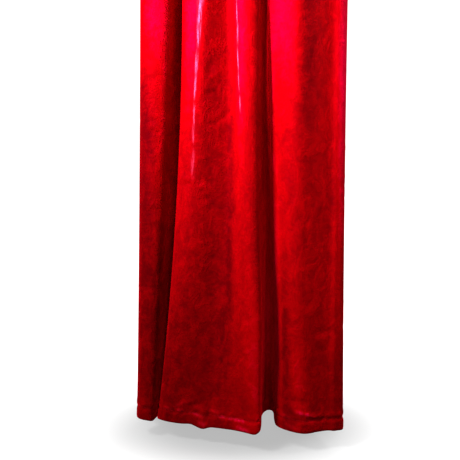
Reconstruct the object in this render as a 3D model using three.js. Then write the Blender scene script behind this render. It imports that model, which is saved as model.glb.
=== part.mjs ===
// A sleeveless velvet maxi dress: a plain bodice, a gathered waist seam and a long skirt in deep folds.
// It is filled out as if worn, with nobody in it, and open at the neck, the armholes and the hem.
//
// Units are millimetres. +Z is up, the front faces -Y and +X is on the right as the front is looked at.
// The origin lies midway between the shoulder straps, level with their tops, where the wearer holds it up.

import * as THREE from "three";

// ---------------------------------------------------------------- driving sizes

const WALL = 1.6; // velvet, from the back of the ground cloth to the tips of the pile
const SEAM_GAP = 0.3; // left between two pieces at a seam
const WAIST_Z = -405; // waist seam, below the tops of the straps
const SKIRT_LENGTH = 1045; // waist seam to hem edge
const HIP_DROP = 200; // waist seam to the level where the folds are fully formed
const KNEE_DROP = 700; // waist seam to the level between, where the folds have begun to lean
const HEM_DEPTH = 26; // cloth turned up and stitched inside the hem
const HEM_WALL = 3.4; // two layers of velvet
const HEM_STEP = 0.6; // the turned-up edge inside the hem slopes over twice this height

const WAIST = { halfWidth: 130, front: 102, back: 98 };

// ---------------------------------------------------------------- small helpers

const lerp = (a, b, t) => a + (b - a) * t;
const clamp01 = (t) => Math.min(1, Math.max(0, t));
const smooth = (t) => clamp01(t) ** 2 * (3 - 2 * clamp01(t));
const mix = (p, q, t) => ({ x: lerp(p.x, q.x, t), y: lerp(p.y, q.y, t) });

/** Lengths run along a list of plan points, from 0 at its first. */
function runningLengths(points) {
  const lengths = [0];
  for (let k = 1; k < points.length; k += 1) {
    const step = Math.hypot(points[k].x - points[k - 1].x, points[k].y - points[k - 1].y);
    lengths.push(lengths[k - 1] + step);
  }
  return lengths;
}

/** The place, as a fractional index, where a rising list reaches a value. */
function indexAt(rising, value) {
  let k = 0;
  while (k < rising.length - 2 && rising[k + 1] < value) k += 1;
  return k + (value - rising[k]) / (rising[k + 1] - rising[k]);
}

/** Reads one rising list against another, and carries on in a straight line past either end. */
function readAcross(from, to, value) {
  const place = indexAt(from, value);
  const k = Math.min(from.length - 2, Math.max(0, Math.floor(place)));
  return lerp(to[k], to[k + 1], place - k);
}

/** Points at shares of a half oval's length: left to right through the front, or on through the back. */
function halfOval(size, isFront, shares) {
  const STEPS = 240;
  const depth = isFront ? size.front : size.back;
  const side = isFront ? -1 : 1;
  const points = [];
  for (let k = 0; k <= STEPS; k += 1) {
    const turn = (Math.PI * k) / STEPS;
    points.push({ x: side * size.halfWidth * Math.cos(turn), y: side * depth * Math.sin(turn) });
  }
  const lengths = runningLengths(points);
  return shares.map((share) => {
    const place = indexAt(lengths, share * lengths[STEPS]);
    const k = Math.min(STEPS - 1, Math.floor(place));
    return mix(points[k], points[k + 1], place - k);
  });
}

/** A closed uniform cubic B-spline over plan points; u counts control points. */
function splineAt(control, u) {
  const count = control.length;
  const k = Math.floor(u);
  const t = u - k;
  const weights = [
    (1 - t) ** 3 / 6,
    (3 * t ** 3 - 6 * t ** 2 + 4) / 6,
    (-3 * t ** 3 + 3 * t ** 2 + 3 * t + 1) / 6,
    t ** 3 / 6,
  ];
  const point = { x: 0, y: 0 };
  weights.forEach((weight, i) => {
    const p = control[(k - 1 + i + 2 * count) % count];
    point.x += weight * p.x;
    point.y += weight * p.y;
  });
  return point;
}

/**
 * A closed cloth wall over a grid of outer points. Rows run down, and columns run round, the front from
 * -X to +X. beyond(i, j) gives the point where the cloth would go on past a seam, or nothing past a free
 * edge. A level row keeps the wall's two faces at one height, as at the waist seam and the hem edge.
 */
function clothWall(outer, beyond, isLevel, wallAt) {
  const rows = outer.length;
  const columns = outer[0].length;
  const pointAt = (i, j) => {
    const isInside = i >= 0 && i < rows && j >= 0 && j < columns;
    return isInside ? outer[i][j] : beyond(i, j);
  };
  const down = new THREE.Vector3();
  const along = new THREE.Vector3();
  const positions = outer.flat().flatMap((p) => p.toArray());
  for (let i = 0; i < rows; i += 1) {
    for (let j = 0; j < columns; j += 1) {
      const here = outer[i][j];
      down.subVectors(pointAt(i + 1, j) ?? here, pointAt(i - 1, j) ?? here).normalize();
      along.subVectors(pointAt(i, j + 1) ?? here, pointAt(i, j - 1) ?? here).normalize();
      const inward = new THREE.Vector3().crossVectors(along, down);
      if (isLevel(i)) inward.z = 0;
      inward.normalize();
      positions.push(...here.clone().addScaledVector(inward, wallAt(i)).toArray());
    }
  }
  const inner = rows * columns;
  const at = (i, j) => i * columns + j;
  const index = [];
  const quad = (a, b, c, d) => index.push(a, b, c, a, c, d);
  for (let i = 0; i < rows - 1; i += 1) {
    for (let j = 0; j < columns - 1; j += 1) {
      quad(at(i, j), at(i + 1, j), at(i + 1, j + 1), at(i, j + 1));
      quad(inner + at(i, j), inner + at(i, j + 1), inner + at(i + 1, j + 1), inner + at(i + 1, j));
    }
  }
  for (let j = 0; j < columns - 1; j += 1) {
    quad(at(0, j), at(0, j + 1), inner + at(0, j + 1), inner + at(0, j));
    quad(at(rows - 1, j), inner + at(rows - 1, j), inner + at(rows - 1, j + 1), at(rows - 1, j + 1));
  }
  for (let i = 0; i < rows - 1; i += 1) {
    const last = columns - 1;
    quad(at(i, 0), inner + at(i, 0), inner + at(i + 1, 0), at(i + 1, 0));
    quad(at(i, last), at(i + 1, last), inner + at(i + 1, last), inner + at(i, last));
  }
  const geometry = new THREE.BufferGeometry();
  geometry.setAttribute("position", new THREE.Float32BufferAttribute(positions, 3));
  geometry.setIndex(index);
  geometry.computeVertexNormals();
  return geometry;
}

// ---------------------------------------------------------------- skirt

// One entry a fold, in plan, at the hip, the knee and the hem. A fold runs from its start to its end, stands
// out by its bulge between them, and then drops to the floor of the valley after it, which is as wide as its
// gap. Its turn is how much of its flanks its two edges take to turn: half for a soft roll, less for a crisp
// fold. The folds go round from the left side through the front, the right side and the back.
const FOLD_COLUMNS = ["startX", "startY", "endX", "endY", "bulge", "valleyX", "valleyY", "gap", "turn"];
const FOLDS = [
  {
    name: "left side",
    hip: [-186, 44, -194, -12, 4, -184, -32, 4, 0.5],
    knee: [-198, 47, -206, -9, 4, -194, -30, 5, 0.5],
    hem: [-204, 52, -212, -6, 5, -198, -28, 6, 0.5],
  },
  {
    name: "left roll",
    hip: [-192, -58, -136, -80, 13, -103, -34, 12, 0.4],
    knee: [-206, -56, -160, -79, 11, -130, -22, 12, 0.4],
    hem: [-218, -54, -182, -78, 8, -166, -48, 9, 0.4],
  },
  {
    name: "main roll, left",
    hip: [-111, -94, -64, -123, 6, -25, -109, 4, 0.4],
    knee: [-136, -84, -97, -111, 5, -32, -108, 5, 0.4],
    hem: [-174, -68, -128, -92, 4, -64, -106, 6, 0.5],
  },
  {
    name: "main roll, middle",
    hip: [-17, -112, 28, -138, 9, 46, -115, 6, 0.5],
    knee: [-22, -114, 34, -145, 7, 56, -95, 10, 0.5],
    hem: [-48, -116, 42, -156, -6, 58, -36, 30, 0.2],
  },
  {
    name: "right roll",
    hip: [54, -116, 109, -143, 5, 172, -122, 10, 0.4],
    knee: [66, -102, 114, -143, 5, 178, -122, 10, 0.4],
    hem: [71, -106, 128, -143, 6, 184, -126, 10, 0.3],
  },
  {
    name: "right edge",
    hip: [180, -124, 197, -112, 3, 188, -34, 6, 0.4],
    knee: [188, -123, 204, -111, 3, 192, -41, 7, 0.4],
    hem: [197, -124, 211, -110, 4, 196, -50, 8, 0.4],
  },
  {
    name: "right side",
    hip: [200, -12, 190, 44, 4, 172, 54, 8, 0.5],
    knee: [207, -16, 199, 45, 5, 174, 54, 9, 0.5],
    hem: [214, -20, 208, 46, 6, 176, 54, 10, 0.5],
  },
  {
    name: "back, first",
    hip: [186, 80, 140, 107, 7, 123, 66, 8, 0.5],
    knee: [197, 84, 147, 117, 7, 125, 60, 10, 0.5],
    hem: [206, 88, 147, 130, 7, 122, 54, 12, 0.5],
  },
  {
    name: "back, second",
    hip: [105, 114, 20, 136, 9, 4, 84, 10, 0.45],
    knee: [107, 122, 20, 147, 9, 0, 72, 12, 0.45],
    hem: [108, 130, 14, 153, 8, -8, 60, 14, 0.45],
  },
  {
    name: "back, third",
    hip: [-12, 134, -48, 129, 7, -63, 94, 7, 0.5],
    knee: [-17, 142, -56, 137, 7, -72, 90, 8, 0.5],
    hem: [-27, 147, -64, 145, 6, -80, 88, 9, 0.5],
  },
  {
    name: "back, fourth",
    hip: [-78, 122, -150, 92, 9, -166, 50, 10, 0.45],
    knee: [-88, 130, -163, 98, 9, -174, 54, 11, 0.45],
    hem: [-97, 138, -175, 104, 9, -184, 60, 12, 0.45],
  },
];
const LEFT_SEAM_FOLD = 0;
const RIGHT_SEAM_FOLD = 6;

// The hem rides up in the deep valley between the main roll and the right roll. Its place and its half reach
// are counted in fold points, and the lift starts at fromDrop below the waist seam.
const HEM_LIFT = { place: 30.1, half: 1.4, height: 18, fromDrop: 900 };

// Gathers stand out a little at the seam, fully a thumb's width below it, and fade into the folds at the hip.
const GATHERS = {
  perPanel: 13,
  atSeam: 2.6,
  full: 6.6,
  fullDrop: 16,
  fadeDrop: 200,
  uneven: 0.22,
  drift: 16.6,
};
// Drops below the waist seam at which the wall has a section, down to the hem.
const SKIRT_DROPS = [0, 6, 16, 32, 54, 80, 110, 145, HIP_DROP, 270, 350, 440, 540, 640, 740, 840, 940];
const PANEL_COLUMNS = 78;

const POINTS_A_FOLD = 8;
const SEAM_PLACE = 1.5; // half way over the seam's fold, counted in its points
const TANGENT_STEP = 0.05; // of a control point

/** The plan points of every fold at one level, in order round the skirt. */
function foldPoints(level) {
  const rows = FOLDS.map((fold) => Object.fromEntries(FOLD_COLUMNS.map((name, k) => [name, fold[level][k]])));
  return rows.flatMap((row, k) => {
    const start = { x: row.startX, y: row.startY };
    const end = { x: row.endX, y: row.endY };
    const span = Math.hypot(end.x - start.x, end.y - start.y);
    const along = { x: (end.x - start.x) / span, y: (end.y - start.y) / span };
    const out = (p) => ({ x: p.x + row.bulge * along.y, y: p.y - row.bulge * along.x });
    const nearFloor = { x: row.valleyX - (along.x * row.gap) / 2, y: row.valleyY - (along.y * row.gap) / 2 };
    const farFloor = { x: row.valleyX + (along.x * row.gap) / 2, y: row.valleyY + (along.y * row.gap) / 2 };
    const next = rows[(k + 1) % rows.length];
    return [
      start,
      out(mix(start, end, 1 / 3)),
      out(mix(start, end, 2 / 3)),
      end,
      mix(end, nearFloor, row.turn),
      nearFloor,
      farFloor,
      mix({ x: next.startX, y: next.startY }, farFloor, next.turn),
    ];
  });
}

const HIP_POINTS = foldPoints("hip");
const KNEE_POINTS = foldPoints("knee");
const HEM_POINTS = foldPoints("hem");
const POINT_COUNT = HIP_POINTS.length;
const LEFT_SEAM = LEFT_SEAM_FOLD * POINTS_A_FOLD + SEAM_PLACE;
const RIGHT_SEAM = RIGHT_SEAM_FOLD * POINTS_A_FOLD + SEAM_PLACE;

/** Shares of each panel's width, 0 to 1, at evenly spaced places round the mean section. */
function panelSpline(from, to) {
  const STEPS = 900;
  const places = [];
  const points = [];
  for (let k = 0; k <= STEPS; k += 1) {
    const u = lerp(from, to, k / STEPS);
    places.push(u);
    points.push(mix(splineAt(HIP_POINTS, u), splineAt(HEM_POINTS, u), 0.5));
  }
  const lengths = runningLengths(points);
  const shares = lengths.map((length) => length / lengths[STEPS]);
  return {
    shareOf: (u) => readAcross(places, shares, u),
    placeOf: (share) => readAcross(shares, places, share),
  };
}

const FRONT_PANEL = panelSpline(LEFT_SEAM, RIGHT_SEAM);
const BACK_PANEL = panelSpline(RIGHT_SEAM, LEFT_SEAM + POINT_COUNT);

/** Where each fold point starts on the waist seam. */
function waistPoints() {
  return HIP_POINTS.map((_, k) => {
    const isFront = k > LEFT_SEAM && k < RIGHT_SEAM;
    if (isFront) return halfOval(WAIST, true, [FRONT_PANEL.shareOf(k)])[0];
    const u = k < LEFT_SEAM ? k + POINT_COUNT : k;
    return halfOval(WAIST, false, [BACK_PANEL.shareOf(u)])[0];
  });
}

const WAIST_POINTS = waistPoints();

/** The section's plan points at a drop below the waist seam: one smooth bend through hip, knee and hem. */
function sectionAt(drop) {
  if (drop < HIP_DROP) {
    const spread = Math.sin((Math.PI / 2) * (drop / HIP_DROP));
    return WAIST_POINTS.map((p, k) => mix(p, HIP_POINTS[k], spread));
  }
  const knee = (KNEE_DROP - HIP_DROP) / (SKIRT_LENGTH - HIP_DROP);
  const fall = (drop - HIP_DROP) / (SKIRT_LENGTH - HIP_DROP);
  const atHip = ((fall - knee) * (fall - 1)) / knee;
  const atKnee = (fall * (1 - fall)) / (knee * (1 - knee));
  const atHem = (fall * (fall - knee)) / (1 - knee);
  return HIP_POINTS.map((p, k) => ({
    x: atHip * p.x + atKnee * KNEE_POINTS[k].x + atHem * HEM_POINTS[k].x,
    y: atHip * p.y + atKnee * KNEE_POINTS[k].y + atHem * HEM_POINTS[k].y,
  }));
}

/** How far a gather stands out at a share of the panel's width; gathers differ a little from each other. */
function gatherAt(share, drop) {
  const rise = smooth(drop / GATHERS.fullDrop);
  const fade = 1 - smooth((drop - GATHERS.fullDrop) / (GATHERS.fadeDrop - GATHERS.fullDrop));
  const depth = lerp(GATHERS.atSeam, GATHERS.full, rise) * fade;
  const turn = 2 * Math.PI * GATHERS.perPanel * share;
  const change = GATHERS.uneven * Math.sin(GATHERS.drift * share + 1) * Math.sin(Math.PI * share);
  return -depth * (1 + change) * Math.cos(turn);
}

/** How far the cloth is lifted at a fold place and a drop below the waist seam. */
function hemLift(u, drop) {
  const reach = smooth((drop - HEM_LIFT.fromDrop) / (SKIRT_LENGTH - HEM_LIFT.fromDrop));
  return HEM_LIFT.height * Math.exp(-(((u - HEM_LIFT.place) / HEM_LIFT.half) ** 2)) * reach;
}

/** A point of the skirt's outer face, at a share of a panel's width and a drop below the waist seam. */
function skirtPoint(panel, control, share, drop) {
  const u = panel.placeOf(share);
  const here = splineAt(control, u);
  const before = splineAt(control, u - TANGENT_STEP);
  const after = splineAt(control, u + TANGENT_STEP);
  const span = Math.hypot(after.x - before.x, after.y - before.y);
  const along = { x: (after.x - before.x) / span, y: (after.y - before.y) / span };
  const out = gatherAt(share, drop);
  const inset = share === 0 ? SEAM_GAP / 2 : share === 1 ? -SEAM_GAP / 2 : 0;
  const x = here.x + along.x * inset + along.y * out;
  const y = here.y + along.y * inset - along.x * out;
  return new THREE.Vector3(x, y, WAIST_Z - SEAM_GAP / 2 - drop + hemLift(u, drop));
}

function skirtPanel(panel) {
  const hemTop = SKIRT_LENGTH - HEM_DEPTH;
  const drops = [...SKIRT_DROPS, hemTop - HEM_STEP, hemTop + HEM_STEP, SKIRT_LENGTH];
  const controls = drops.map(sectionAt);
  const pointAt = (i, j) => skirtPoint(panel, controls[i], j / PANEL_COLUMNS, drops[i]);
  const columns = Array.from({ length: PANEL_COLUMNS + 1 }, (_, j) => j);
  const outer = drops.map((_, i) => columns.map((j) => pointAt(i, j)));
  const beyond = (i, j) => (drops[i] === undefined ? null : pointAt(i, j));
  const isLevel = (i) => i === 0 || i === drops.length - 1;
  return clothWall(outer, beyond, isLevel, (i) => (drops[i] > hemTop ? HEM_WALL : WALL));
}

// ---------------------------------------------------------------- bodice

// The filled-out form from the tops of the straps down, a row a level.
const BODICE = [
  { name: "strap top", z: 0, halfWidth: 166, front: 0, back: 0 },
  { name: "strap, rounding over", z: -10, halfWidth: 168, front: 30, back: 30 },
  { name: "collar bone", z: -60, halfWidth: 171, front: 70, back: 68 },
  { name: "upper chest", z: -130, halfWidth: 166, front: 99, back: 88 },
  { name: "underarm", z: -205, halfWidth: 158, front: 116, back: 97 },
  { name: "bust", z: -265, halfWidth: 154, front: 120, back: 98 },
  { name: "under the bust", z: -335, halfWidth: 139, front: 108, back: 93 },
  { name: "waist seam", z: WAIST_Z, halfWidth: WAIST.halfWidth, front: WAIST.front, back: WAIST.back },
];

// Edges of a strap and its panel, from the bottom up, as distances from the middle of the dress.
const FRONT_ARMHOLE = [[158, -205], [151, -203], [138, -186], [124, -146], [119, -95], [128, 0]];
const BACK_ARMHOLE = [[158, -205], [152, -203], [143, -186], [132, -146], [126, -95], [128, 0]];
const FRONT_NECK = [[0, -150], [31, -148], [58, -126], [71, -82], [76, -36], [78, 0]];
const BACK_NECK = [[0, -72], [34, -66], [60, -49], [72, -29], [77, -11], [78, 0]];

const NECK_COLUMNS = 7; // in half a panel, from the middle to the strap
const STRAP_COLUMNS = 3;
const ARMHOLE_COLUMNS = 6;
const STRAP_MIDDLE = 103;
const SHOULDER_SLOPE = 0.3;
const SLOPE_REACH = 170; // the shoulders' slope fades out this far down
const BUST = { x: 84, z: -262, out: 10, radius: 50 };
const HALF_COLUMNS = NECK_COLUMNS + STRAP_COLUMNS + ARMHOLE_COLUMNS;
const BODICE_ROWS = 13;
const ROW_CROWDING = 1.7; // above 1 the rows lie closer at the straps, where the cloth rounds over

/** A smooth curve through a column of the form's table, read at a height. */
function formAt(name, z) {
  const rows = BODICE;
  let k = 0;
  while (k < rows.length - 2 && rows[k + 1].z > z) k += 1;
  const t = clamp01((rows[k].z - z) / (rows[k].z - rows[k + 1].z));
  if (name !== "halfWidth" && k === 0) return rows[1][name] * Math.sqrt(t);
  const first = name === "halfWidth" ? 0 : 1;
  const slope = (i) => {
    const above = rows[Math.max(first, i - 1)];
    const below = rows[Math.min(rows.length - 1, i + 1)];
    return (above[name] - below[name]) / (above.z - below.z);
  };
  const span = rows[k + 1].z - rows[k].z;
  const ease = 3 * t ** 2 - 2 * t ** 3;
  const bend = (t ** 3 - 2 * t ** 2 + t) * slope(k) + (t ** 3 - t ** 2) * slope(k + 1);
  return lerp(rows[k][name], rows[k + 1][name], ease) + span * bend;
}

/** The top edge of a half panel, as (distance from the middle, height), a point for each column. */
function topEdge(neck, armhole) {
  const curve = (rows) => new THREE.SplineCurve(rows.map(([x, z]) => new THREE.Vector2(x, z)));
  const strap = new THREE.LineCurve(curve(neck).getPoint(1), curve(armhole).getPoint(1));
  return [
    ...curve(neck).getPoints(NECK_COLUMNS),
    ...strap.getPoints(STRAP_COLUMNS).slice(1),
    ...curve(armhole).getPoints(ARMHOLE_COLUMNS).reverse().slice(1),
  ];
}

/** The bodice piece's outer grid; the front's columns run towards +X, the back's towards -X. */
function bodiceGrid(isFront) {
  const side = isFront ? -1 : 1;
  const depthName = isFront ? "front" : "back";
  const edge = isFront ? topEdge(FRONT_NECK, FRONT_ARMHOLE) : topEdge(BACK_NECK, BACK_ARMHOLE);
  const pointAt = (down, column) => {
    const out = Math.abs(column);
    const top = edge[out];
    const atSide = out === HALF_COLUMNS;
    const topTurn = atSide ? Math.PI / 2 : Math.asin(top.x / formAt("halfWidth", top.y));
    const turn = lerp(topTurn, (Math.PI / 2) * (out / HALF_COLUMNS), smooth(down));
    const z = lerp(top.y, WAIST_Z + SEAM_GAP / 2, down ** ROW_CROWDING);
    const sideways = formAt("halfWidth", z) * Math.sin(turn);
    const fromBust = Math.hypot(sideways - BUST.x, z - BUST.z) / BUST.radius;
    const bust = isFront ? BUST.out * Math.exp(-(fromBust ** 2)) : 0;
    const outward = (formAt(depthName, z) + bust) * Math.cos(turn) + SEAM_GAP / 2;
    const lift = SHOULDER_SLOPE * (STRAP_MIDDLE - sideways) * smooth(1 + z / SLOPE_REACH);
    return new THREE.Vector3(-side * Math.sign(column) * sideways, side * outward, z + lift);
  };
  const columns = Array.from({ length: 2 * HALF_COLUMNS + 1 }, (_, j) => j - HALF_COLUMNS);
  const rows = Array.from({ length: BODICE_ROWS + 1 }, (_, i) => i / BODICE_ROWS);
  return rows.map((down) => columns.map((column) => pointAt(down, column)));
}

/** A bodice piece: past its side seams and strap ends the cloth goes on as its mirror image over them. */
function bodicePiece(isFront) {
  const outer = bodiceGrid(isFront);
  const mirrored = (p) => new THREE.Vector3(p.x, -p.y, p.z);
  const last = 2 * HALF_COLUMNS;
  const isStrap = (j) => {
    const out = Math.abs(j - HALF_COLUMNS);
    return out >= NECK_COLUMNS && out <= NECK_COLUMNS + STRAP_COLUMNS;
  };
  const beyond = (i, j) => {
    if (j < 0) return mirrored(outer[i][1]);
    if (j > last) return mirrored(outer[i][last - 1]);
    return i < 0 && isStrap(j) ? mirrored(outer[1][j]) : null;
  };
  return clothWall(outer, beyond, (i) => i === BODICE_ROWS, () => WALL);
}

// ---------------------------------------------------------------- the dress

const velvet = () => new THREE.MeshStandardMaterial({ color: 0xb3001b, roughness: 0.7, metalness: 0 });

function piece(name, geometry) {
  const mesh = new THREE.Mesh(geometry, velvet());
  mesh.name = name;
  return mesh;
}

const dress = new THREE.Group();
dress.add(piece("bodice_front", bodicePiece(true)));
dress.add(piece("bodice_back", bodicePiece(false)));
dress.add(piece("skirt_front", skirtPanel(FRONT_PANEL)));
dress.add(piece("skirt_back", skirtPanel(BACK_PANEL)));

export default dress;
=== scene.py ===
"""A red velvet maxi dress, filled out as if worn: its cloth, stitching, floor, lights and camera.

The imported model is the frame. Each cloth piece is a thin closed shell on the form of its solid, built from
the same named sizes and tables, with creases, gathers and hems added. Tables are in millimetres.
"""

import math

import bpy
import numpy as np
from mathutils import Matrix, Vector
from mathutils.bvhtree import BVHTree


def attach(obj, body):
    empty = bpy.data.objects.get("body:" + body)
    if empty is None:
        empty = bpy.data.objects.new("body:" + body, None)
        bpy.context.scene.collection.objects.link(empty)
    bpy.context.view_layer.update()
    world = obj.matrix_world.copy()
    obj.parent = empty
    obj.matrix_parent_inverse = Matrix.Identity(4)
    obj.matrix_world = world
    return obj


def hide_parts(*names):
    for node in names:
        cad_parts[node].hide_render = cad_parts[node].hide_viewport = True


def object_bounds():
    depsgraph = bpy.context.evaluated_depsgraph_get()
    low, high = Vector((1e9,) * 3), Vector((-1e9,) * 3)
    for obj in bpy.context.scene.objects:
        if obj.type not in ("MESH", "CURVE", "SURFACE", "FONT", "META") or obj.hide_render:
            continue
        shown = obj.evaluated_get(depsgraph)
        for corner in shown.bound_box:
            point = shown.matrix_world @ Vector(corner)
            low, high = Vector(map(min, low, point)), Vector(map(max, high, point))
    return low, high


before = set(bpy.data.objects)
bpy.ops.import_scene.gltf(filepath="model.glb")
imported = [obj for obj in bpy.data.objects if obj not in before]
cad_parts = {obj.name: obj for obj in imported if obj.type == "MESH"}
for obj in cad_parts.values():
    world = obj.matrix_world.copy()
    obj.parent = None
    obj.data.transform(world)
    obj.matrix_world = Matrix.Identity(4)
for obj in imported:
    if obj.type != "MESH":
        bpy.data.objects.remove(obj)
cad_low, cad_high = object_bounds()

MM = 0.001

# -------------------- sizes shared with the solids

WALL = 1.6
WAIST_Z = -405.0
SKIRT_LENGTH = 1045.0
HIP_DROP = 200.0
HEM_DEPTH = 26.0
HEM_LINE = SKIRT_LENGTH - HEM_DEPTH
HEM_WALL = 3.4
WAIST = {"half_width": 130.0, "front": 102.0, "back": 98.0}

# A row a fold, in plan, at the hip, the knee and the hem: the start and end of its crest, how far it bulges
# out between them, the floor of the valley after it and its gap, and the share of its flanks that its two
# edges take to turn, less for a crisp fold.
FOLDS = (
    (
        "left side",
        (-186, 44, -194, -12, 4, -184, -32, 4, 0.5),
        (-198, 47, -206, -9, 4, -194, -30, 5, 0.5),
        (-204, 52, -212, -6, 5, -198, -28, 6, 0.5),
    ),
    (
        "left roll",
        (-192, -58, -136, -80, 13, -103, -34, 12, 0.4),
        (-206, -56, -160, -79, 11, -130, -22, 12, 0.4),
        (-218, -54, -182, -78, 8, -166, -48, 9, 0.4),
    ),
    (
        "main roll, left",
        (-111, -94, -64, -123, 6, -25, -109, 4, 0.4),
        (-136, -84, -97, -111, 5, -32, -108, 5, 0.4),
        (-174, -68, -128, -92, 4, -64, -106, 6, 0.5),
    ),
    (
        "main roll, middle",
        (-17, -112, 28, -138, 9, 46, -115, 6, 0.5),
        (-22, -114, 34, -145, 7, 56, -95, 10, 0.5),
        (-48, -116, 42, -156, -6, 58, -36, 30, 0.2),
    ),
    (
        "right roll",
        (54, -116, 109, -143, 5, 172, -122, 10, 0.4),
        (66, -102, 114, -143, 5, 178, -122, 10, 0.4),
        (71, -106, 128, -143, 6, 184, -126, 10, 0.3),
    ),
    (
        "right edge",
        (180, -124, 197, -112, 3, 188, -34, 6, 0.4),
        (188, -123, 204, -111, 3, 192, -41, 7, 0.4),
        (197, -124, 211, -110, 4, 196, -50, 8, 0.4),
    ),
    (
        "right side",
        (200, -12, 190, 44, 4, 172, 54, 8, 0.5),
        (207, -16, 199, 45, 5, 174, 54, 9, 0.5),
        (214, -20, 208, 46, 6, 176, 54, 10, 0.5),
    ),
    (
        "back, first",
        (186, 80, 140, 107, 7, 123, 66, 8, 0.5),
        (197, 84, 147, 117, 7, 125, 60, 10, 0.5),
        (206, 88, 147, 130, 7, 122, 54, 12, 0.5),
    ),
    (
        "back, second",
        (105, 114, 20, 136, 9, 4, 84, 10, 0.45),
        (107, 122, 20, 147, 9, 0, 72, 12, 0.45),
        (108, 130, 14, 153, 8, -8, 60, 14, 0.45),
    ),
    (
        "back, third",
        (-12, 134, -48, 129, 7, -63, 94, 7, 0.5),
        (-17, 142, -56, 137, 7, -72, 90, 8, 0.5),
        (-27, 147, -64, 145, 6, -80, 88, 9, 0.5),
    ),
    (
        "back, fourth",
        (-78, 122, -150, 92, 9, -166, 50, 10, 0.45),
        (-88, 130, -163, 98, 9, -174, 54, 11, 0.45),
        (-97, 138, -175, 104, 9, -184, 60, 12, 0.45),
    ),
)
POINTS_A_FOLD = 8
LEFT_SEAM = 1.5
RIGHT_SEAM = 6 * POINTS_A_FOLD + 1.5
KNEE_DROP = 700.0

GATHERS = {
    "per_panel": 13,
    "at_seam": 2.6,
    "full": 6.6,
    "full_drop": 16,
    "fade_drop": 200,
    "uneven": 0.22,
    "drift": 16.6,
}

# The bodice's filled-out form: height, half width, depth in front and behind.
BODICE = np.array(
    (
        (0, 166, 0, 0),
        (-10, 168, 30, 30),
        (-60, 171, 70, 68),
        (-130, 166, 99, 88),
        (-205, 158, 116, 97),
        (-265, 154, 120, 98),
        (-335, 139, 108, 93),
        (-405, 130, 102, 98),
    ),
    float,
)
HALF_WIDTH, FRONT_DEPTH, BACK_DEPTH = 1, 2, 3
FRONT_ARMHOLE = ((158, -205), (151, -203), (138, -186), (124, -146), (119, -95), (128, 0))
BACK_ARMHOLE = ((158, -205), (152, -203), (143, -186), (132, -146), (126, -95), (128, 0))
FRONT_NECK = ((0, -150), (31, -148), (58, -126), (71, -82), (76, -36), (78, 0))
BACK_NECK = ((0, -72), (34, -66), (60, -49), (72, -29), (77, -11), (78, 0))
NECK_SPAN, STRAP_SPAN, ARMHOLE_SPAN = 7, 3, 6
HALF_SPAN = NECK_SPAN + STRAP_SPAN + ARMHOLE_SPAN
ARMHOLE_FROM = NECK_SPAN + STRAP_SPAN
STRAP_MIDDLE = 103
SHOULDER_SLOPE = 0.3
SLOPE_REACH = 170
BUST = {"x": 84, "z": -262, "out": 10, "radius": 50}
ROW_CROWDING = 1.7

# -------------------- small helpers


def smooth(t):
    """0 below 0, 1 above 1, and an even turn between."""
    t = np.clip(t, 0.0, 1.0)
    return t * t * (3 - 2 * t)


def bell(distance, reach):
    """1 at no distance, fading evenly to both sides."""
    return np.exp(-((distance / reach) ** 2))


def lengths_along(points, axis=0):
    """Lengths run along a line of points, or down or across a grid of them, from 0 at the first."""
    reached = np.cumsum(np.linalg.norm(np.diff(points, axis=axis), axis=-1), axis=axis)
    return np.concatenate((np.zeros_like(np.take(reached, [0], axis=axis)), reached), axis=axis)


OVAL_SAMPLES = 241


def half_oval(is_front, shares):
    """Points at shares of the waist's length: left to right through the front, or on through the back."""
    turn = np.linspace(0, math.pi, OVAL_SAMPLES)
    depth = WAIST["front"] if is_front else WAIST["back"]
    side = -1 if is_front else 1
    points = np.stack((side * WAIST["half_width"] * np.cos(turn), side * depth * np.sin(turn)), axis=1)
    run = lengths_along(points)
    at = np.asarray(shares) * run[-1]
    return np.stack((np.interp(at, run, points[:, 0]), np.interp(at, run, points[:, 1])), axis=-1)


def spline_weights(places, count, slope=False):
    """Rows of weights of a closed uniform cubic B-spline, or of its slope, over its control points."""
    k = np.floor(places).astype(int)
    t = places - k
    if slope:
        parts = (-((1 - t) ** 2) / 2, (3 * t**2 - 4 * t) / 2, (-3 * t**2 + 2 * t + 1) / 2, t**2 / 2)
    else:
        parts = (
            (1 - t) ** 3 / 6,
            (3 * t**3 - 6 * t**2 + 4) / 6,
            (-3 * t**3 + 3 * t**2 + 3 * t + 1) / 6,
            t**3 / 6,
        )
    weights = np.zeros((len(places), count))
    rows = np.arange(len(places))
    for i, part in enumerate(parts):
        weights[rows, (k - 1 + i) % count] += part
    return weights


def unit(vectors):
    """Vectors of length 1 the same way."""
    return vectors / np.maximum(np.linalg.norm(vectors, axis=-1, keepdims=True), 1e-9)


def outward(grid):
    """Outward normals of a grid of points whose rows run down and whose columns run round the dress."""
    return unit(np.cross(np.gradient(grid, axis=0), np.gradient(grid, axis=1)))


CLOTH_GAP = 0.06  # between two pieces of cloth at a seam, closer than the solids' gap
ALLOWANCE = (4.5, 9.0)  # how deep each line of points of a seam allowance lies behind the seam
SIDE_SEAMS = (("start", 1), ("end", 1))  # a grid's first and last columns
WAIST_OF_SKIRT, WAIST_OF_BODICE = ("start", 0), ("end", 0)  # a grid's first row, and its last


def turned_in(grid, normals, sides):
    """The grid with rows or columns added past the named sides, where the cloth turns in behind a seam."""
    for side, axis in sides:
        at_end = side == "end"
        edge, normal = (np.take(values, [-1 if at_end else 0], axis=axis) for values in (grid, normals))
        added = [edge - normal * depth for depth in (ALLOWANCE if at_end else ALLOWANCE[::-1])]
        around = [normal] * len(ALLOWANCE)
        grid = np.concatenate((grid, *added) if at_end else (*added, grid), axis=axis)
        normals = np.concatenate((normals, *around) if at_end else (*around, normals), axis=axis)
    return grid, normals


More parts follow.
